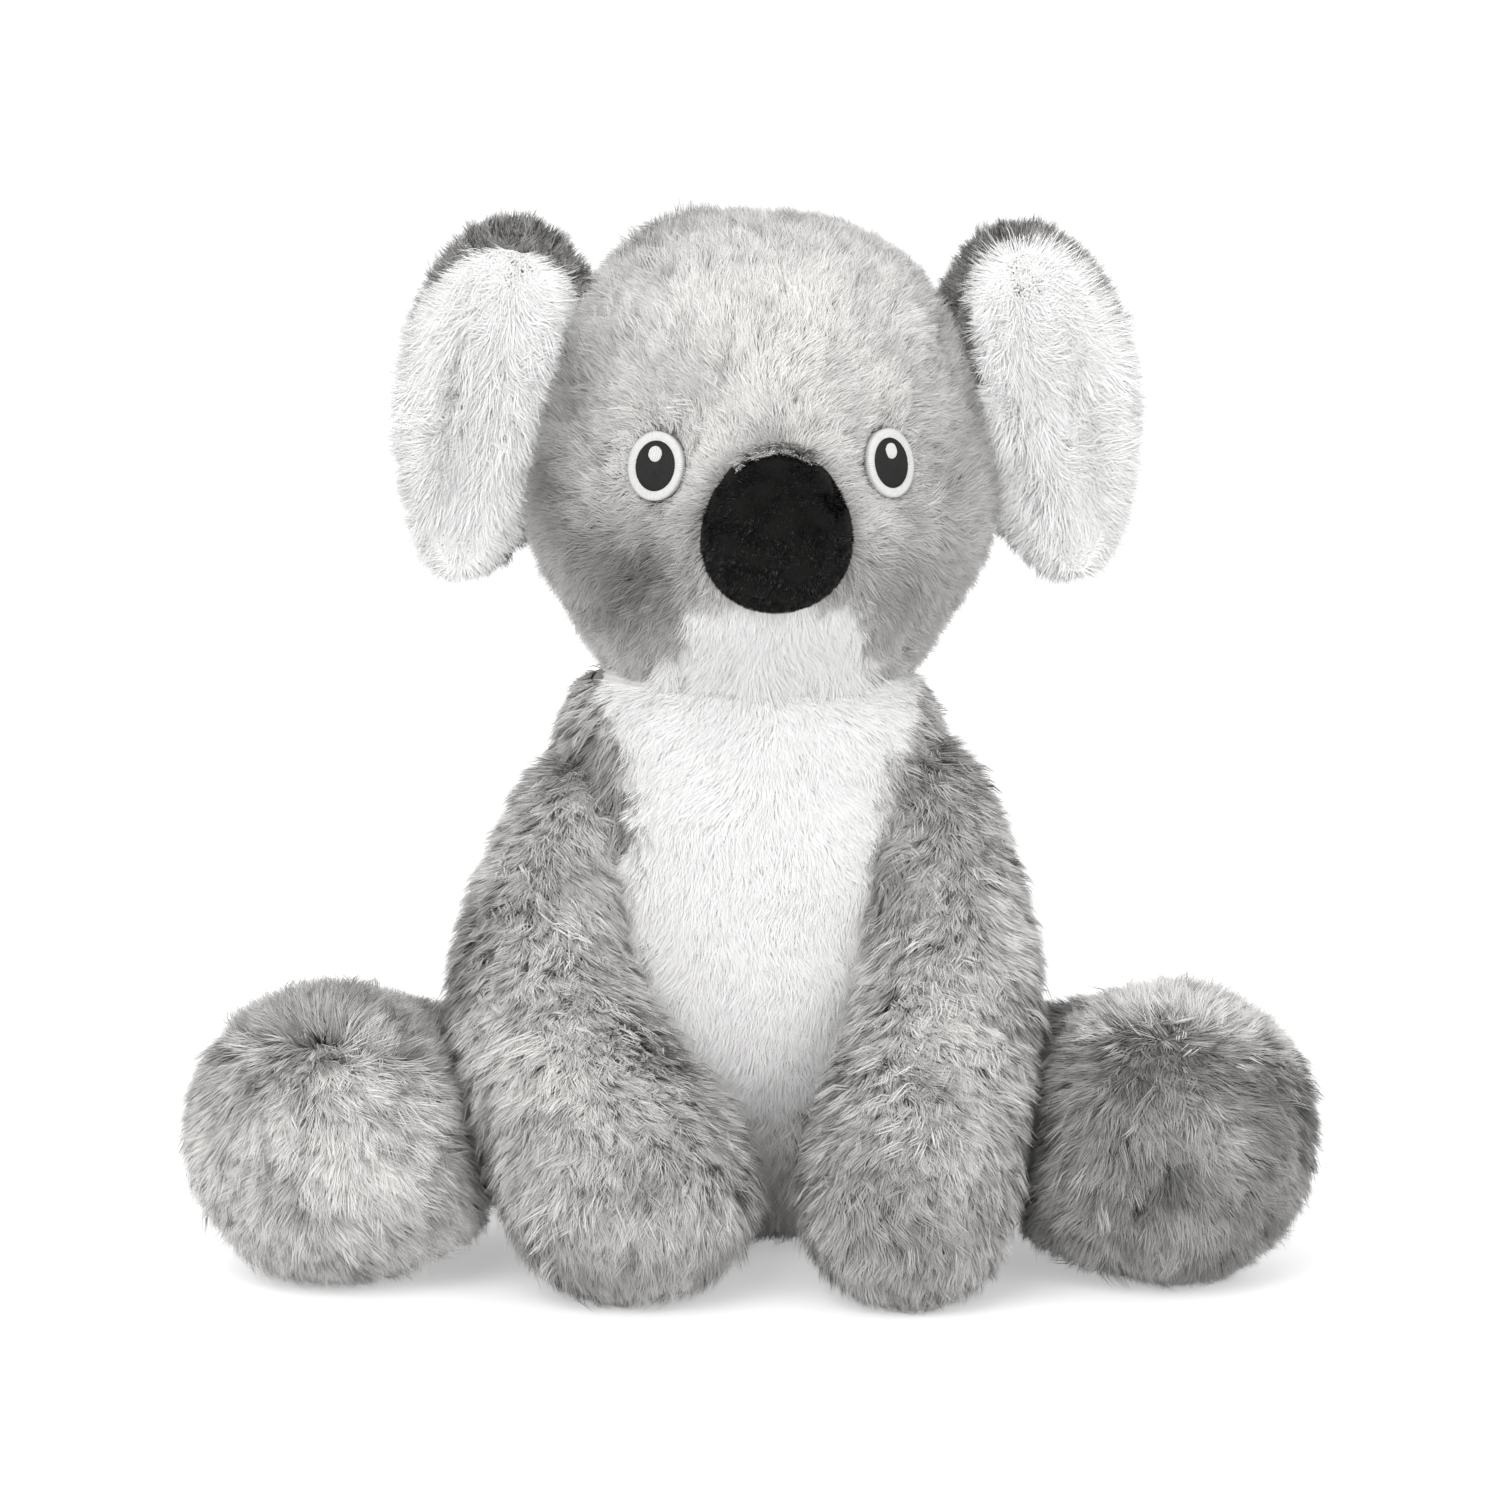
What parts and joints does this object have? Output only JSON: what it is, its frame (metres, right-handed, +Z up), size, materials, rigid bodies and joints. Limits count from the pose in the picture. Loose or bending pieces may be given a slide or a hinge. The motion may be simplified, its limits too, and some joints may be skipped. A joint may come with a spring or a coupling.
{
  "type": "plush koala",
  "caption": "Sitting plush koala with a turning head, floppy cupped ears, lifting arms that rest on the floor and splayed round feet.",
  "frame": {"origin": "on the floor under the middle of the toy's bounding box", "axes": "+Z up, the toy faces -Y, its own left side is at +X"},
  "size_m": [0.3122, 0.1666, 0.2895],
  "materials": {
    "grey_plush": "matte",
    "white_plush": "matte",
    "black_velour": "matte",
    "white_thread": "satin",
    "black_thread": "satin",
    "fibre": "matte"
  },
  "bodies": {
    "torso": {"torso_shell": "grey_plush", "belly_panel": "white_plush", "torso_stuffing": "fibre"},
    "head": {"head_shell": "grey_plush", "chin_panel": "white_plush", "head_stuffing": "fibre", "nose_cover": "black_velour", "nose_wadding": "fibre", "eye_white_left": "white_thread", "eye_white_right": "white_thread", "pupil_left": "black_thread", "pupil_right": "black_thread", "glint_left": "white_thread", "glint_right": "white_thread"},
    "ear_left": {"ear_back_left": "grey_plush", "ear_lining_left": "white_plush"},
    "ear_right": {"ear_back_right": "grey_plush", "ear_lining_right": "white_plush"},
    "arm_left": {"arm_shell_left": "grey_plush", "arm_stuffing_left": "fibre"},
    "arm_right": {"arm_shell_right": "grey_plush", "arm_stuffing_right": "fibre"},
    "leg_left": {"leg_shell_left": "grey_plush", "foot_panel_left": "grey_plush", "leg_stuffing_left": "fibre"},
    "leg_right": {"leg_shell_right": "grey_plush", "foot_panel_right": "grey_plush", "leg_stuffing_right": "fibre"}
  },
  "joints": [
    {"name": "neck_turn", "type": "hinge", "parent": "torso", "child": "head", "pos_m": [0.003, 0.023, 0.172], "axis": [0, 0, 1], "range_deg": [-25, 25], "stiffness_Nm_per_rad": 0.12},
    {"name": "ear_left_flop", "type": "hinge", "parent": "head", "child": "ear_left", "pos_m": [0.06282, 0.0352, 0.236], "axis": [-0.1732, -0.0121, 0.9848], "range_deg": [-15, 15], "stiffness_Nm_per_rad": 0.03},
    {"name": "ear_right_flop", "type": "hinge", "parent": "head", "child": "ear_right", "pos_m": [-0.05794, 0.02676, 0.236], "axis": [0.1732, 0.0121, 0.9848], "range_deg": [-15, 15], "stiffness_Nm_per_rad": 0.03},
    {"name": "shoulder_left_lift", "type": "hinge", "parent": "torso", "child": "arm_left", "pos_m": [0.0455, 0.018, 0.126], "axis": [-1, 0, 0], "range_deg": [0, 50], "stiffness_Nm_per_rad": 0.02},
    {"name": "shoulder_right_lift", "type": "hinge", "parent": "torso", "child": "arm_right", "pos_m": [-0.0455, 0.018, 0.126], "axis": [-1, 0, 0], "range_deg": [0, 50], "stiffness_Nm_per_rad": 0.02},
    {"name": "hip_left_splay", "type": "hinge", "parent": "torso", "child": "leg_left", "pos_m": [0.044, 0.036, 0.0385], "axis": [0, 0, 1], "range_deg": [0, 25], "stiffness_Nm_per_rad": 0.04},
    {"name": "hip_right_splay", "type": "hinge", "parent": "torso", "child": "leg_right", "pos_m": [-0.044, 0.036, 0.0385], "axis": [0, 0, -1], "range_deg": [0, 25], "stiffness_Nm_per_rad": 0.04}
  ]
}
